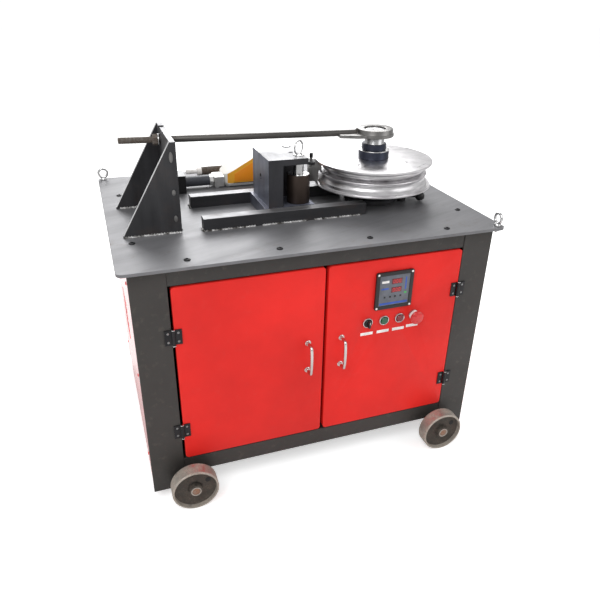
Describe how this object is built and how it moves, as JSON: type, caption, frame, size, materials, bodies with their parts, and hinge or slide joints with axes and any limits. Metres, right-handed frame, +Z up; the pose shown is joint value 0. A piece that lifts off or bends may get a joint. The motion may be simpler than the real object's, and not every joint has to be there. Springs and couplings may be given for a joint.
{
  "type": "rotary pipe and bar bender",
  "caption": "Wheeled cabinet bender: grooved die on an upright spindle, sliding press roller, tie rod to a welded bracket, hinged red doors, foot switch.",
  "frame": {"origin": "on the floor, under the middle of the cabinet", "axes": "+X to the right along the front, +Y to the back, +Z up"},
  "size_m": [1.047, 0.883, 0.9615],
  "materials": {
    "frame_paint": "satin charcoal paint",
    "red_paint": "semi-gloss red paint",
    "table_paint": "smooth grey paint",
    "dark_steel": "dark oiled steel",
    "bright_steel": "turned bright steel",
    "polished_die": "polished turned steel",
    "brown_steel": "browned steel",
    "chrome": "chrome plate",
    "cast_iron": "bare cast iron",
    "rusty_steel": "rusted steel",
    "black_plastic": "black plastic",
    "cast_aluminium": "cast aluminium",
    "yellow_paint": "yellow paint",
    "green_plastic": "green button",
    "red_plastic": "red button",
    "grey_paint": "grey machine paint",
    "grey_plastic": "grey enclosure plastic"
  },
  "bodies": {
    "cabinet": {"table_top": "table_paint", "leg_front_left": "frame_paint", "leg_front_right": "frame_paint", "leg_back_left": "frame_paint", "leg_back_right": "frame_paint", "front_top_rail": "frame_paint", "front_bottom_rail": "frame_paint", "floor_pan": "frame_paint", "left_side_panel": "red_paint", "right_side_panel": "red_paint", "back_panel": "red_paint", "left_lower_hinge": "dark_steel", "left_upper_hinge": "dark_steel", "right_lower_hinge": "dark_steel", "right_upper_hinge": "dark_steel", "near_gusset": "dark_steel", "far_gusset": "dark_steel", "bracket_plate": "dark_steel", "front_guide_rail": "dark_steel", "back_guide_rail": "dark_steel", "conduit_box": "black_plastic", "bearing_housing": "cast_iron", "axle_left": "rusty_steel", "axle_right": "rusty_steel", "spare_screw": "rusty_steel", "lifting_eye_back_left": "bright_steel", "lifting_eye_front_right": "bright_steel", "gearbox": "grey_paint", "drive_motor": "grey_paint", "electrical_box": "grey_plastic", "foot_switch_base": "cast_aluminium", "foot_switch_hood": "yellow_paint"},
    "left_door": {"left_door": "red_paint", "left_door_handle": "chrome"},
    "right_door": {"right_door": "red_paint", "right_door_handle": "chrome", "angle_controller": "black_plastic"},
    "selector": {"selector_knob": "black_plastic"},
    "start_button": {"green_button": "green_plastic"},
    "stop_button": {"red_button": "red_plastic"},
    "estop": {"emergency_stop": "red_plastic"},
    "wheel_front_left": {"wheel_front_left": "cast_iron"},
    "wheel_back_left": {"wheel_back_left": "cast_iron"},
    "wheel_front_right": {"wheel_front_right": "cast_iron"},
    "wheel_back_right": {"wheel_back_right": "cast_iron"},
    "spindle": {"spindle": "bright_steel", "spindle_collar": "dark_steel", "die_base": "polished_die", "die_bead_ring": "polished_die", "die_top_plate": "polished_die", "pipe_clamp": "dark_steel", "spindle_gear": "dark_steel"},
    "pinion": {"drive_pinion": "dark_steel"},
    "tie_rod": {"tie_rod": "brown_steel"},
    "tie_rod_nut": {"tie_rod_nut": "rusty_steel"},
    "roller_block": {"roller_block": "dark_steel"},
    "press_roller": {"press_roller": "brown_steel"},
    "roller_pin": {"roller_pin": "bright_steel"},
    "foot_pedal": {"foot_pedal": "black_plastic"},
    "stop_lever": {"stop_lever": "black_plastic"}
  },
  "joints": [
    {"name": "left_door_hinge", "type": "hinge", "parent": "cabinet", "child": "left_door", "pos_m": [-0.4065, -0.3763, 0.397], "axis": [0, 0, -1], "range_deg": [0, 120]},
    {"name": "right_door_hinge", "type": "hinge", "parent": "cabinet", "child": "right_door", "pos_m": [0.409, -0.3763, 0.397], "axis": [0, 0, 1], "range_deg": [0, 120]},
    {"name": "selector_turn", "type": "hinge", "parent": "right_door", "child": "selector", "pos_m": [0.129, -0.38, 0.4755], "axis": [0, 1, 0], "range_deg": [-45, 45]},
    {"name": "green_button_press", "type": "slide", "parent": "right_door", "child": "start_button", "axis": [0, 1, 0], "range_m": [0, 0.003], "stiffness_N_per_m": 300, "springref_m": -0.002},
    {"name": "red_button_press", "type": "slide", "parent": "right_door", "child": "stop_button", "axis": [0, 1, 0], "range_m": [0, 0.003], "stiffness_N_per_m": 300, "springref_m": -0.002},
    {"name": "emergency_stop_press", "type": "slide", "parent": "right_door", "child": "estop", "axis": [0, 1, 0], "range_m": [0, 0.004], "stiffness_N_per_m": 400, "springref_m": -0.002},
    {"name": "spindle_turn", "type": "hinge", "parent": "cabinet", "child": "spindle", "pos_m": [0.271, -0.0475, 0.8], "axis": [0, 0, -1], "range_deg": [0, 190]},
    {"name": "pinion_turn", "type": "hinge", "parent": "cabinet", "child": "pinion", "pos_m": [0.0782, -0.0475, 0.58], "axis": [0, 0, -1], "range_deg": [-575, 5]},
    {"name": "tie_rod_lift", "type": "slide", "parent": "cabinet", "child": "tie_rod", "axis": [0, 0, 1], "range_m": [0, 0.06]},
    {"name": "tie_rod_nut_turn", "type": "hinge", "parent": "tie_rod", "child": "tie_rod_nut", "pos_m": [-0.3506, 0.02113, 0.926], "axis": [-0.994, 0.1097, 0], "continuous": true},
    {"name": "roller_block_slide", "type": "slide", "parent": "cabinet", "child": "roller_block", "axis": [1, 0, 0], "range_m": [-0.16, 0.06]},
    {"name": "press_roller_spin", "type": "hinge", "parent": "roller_block", "child": "press_roller", "pos_m": [0.008, -0.1135, 0.8], "axis": [0, 0, 1], "continuous": true},
    {"name": "roller_pin_lift", "type": "slide", "parent": "roller_block", "child": "roller_pin", "axis": [0, 0, 1], "range_m": [0, 0.17]},
    {"name": "foot_pedal_press", "type": "hinge", "parent": "cabinet", "child": "foot_pedal", "pos_m": [-0.111, 0.2265, 0.7515], "axis": [0, 1, 0], "range_deg": [0, 5], "stiffness_Nm_per_rad": 4, "springref_deg": -5.73},
    {"name": "stop_lever_swing", "type": "hinge", "parent": "cabinet", "child": "stop_lever", "pos_m": [0.35184, -0.09922, 0.735], "axis": [0, 0, 1], "range_deg": [-15, 15]},
    {"name": "wheel_front_left_spin", "type": "hinge", "parent": "cabinet", "child": "wheel_front_left", "pos_m": [-0.3917, -0.4185, 0.065], "axis": [0, 1, 0], "continuous": true},
    {"name": "wheel_front_right_spin", "type": "hinge", "parent": "cabinet", "child": "wheel_front_right", "pos_m": [0.3917, -0.4185, 0.065], "axis": [0, 1, 0], "continuous": true},
    {"name": "wheel_back_left_spin", "type": "hinge", "parent": "cabinet", "child": "wheel_back_left", "pos_m": [-0.3917, 0.4185, 0.065], "axis": [0, 1, 0], "continuous": true},
    {"name": "wheel_back_right_spin", "type": "hinge", "parent": "cabinet", "child": "wheel_back_right", "pos_m": [0.3917, 0.4185, 0.065], "axis": [0, 1, 0], "continuous": true}
  ],
  "couplings": [
    {"joint": "pinion_turn", "follows": "spindle_turn", "ratio": -3}
  ]
}
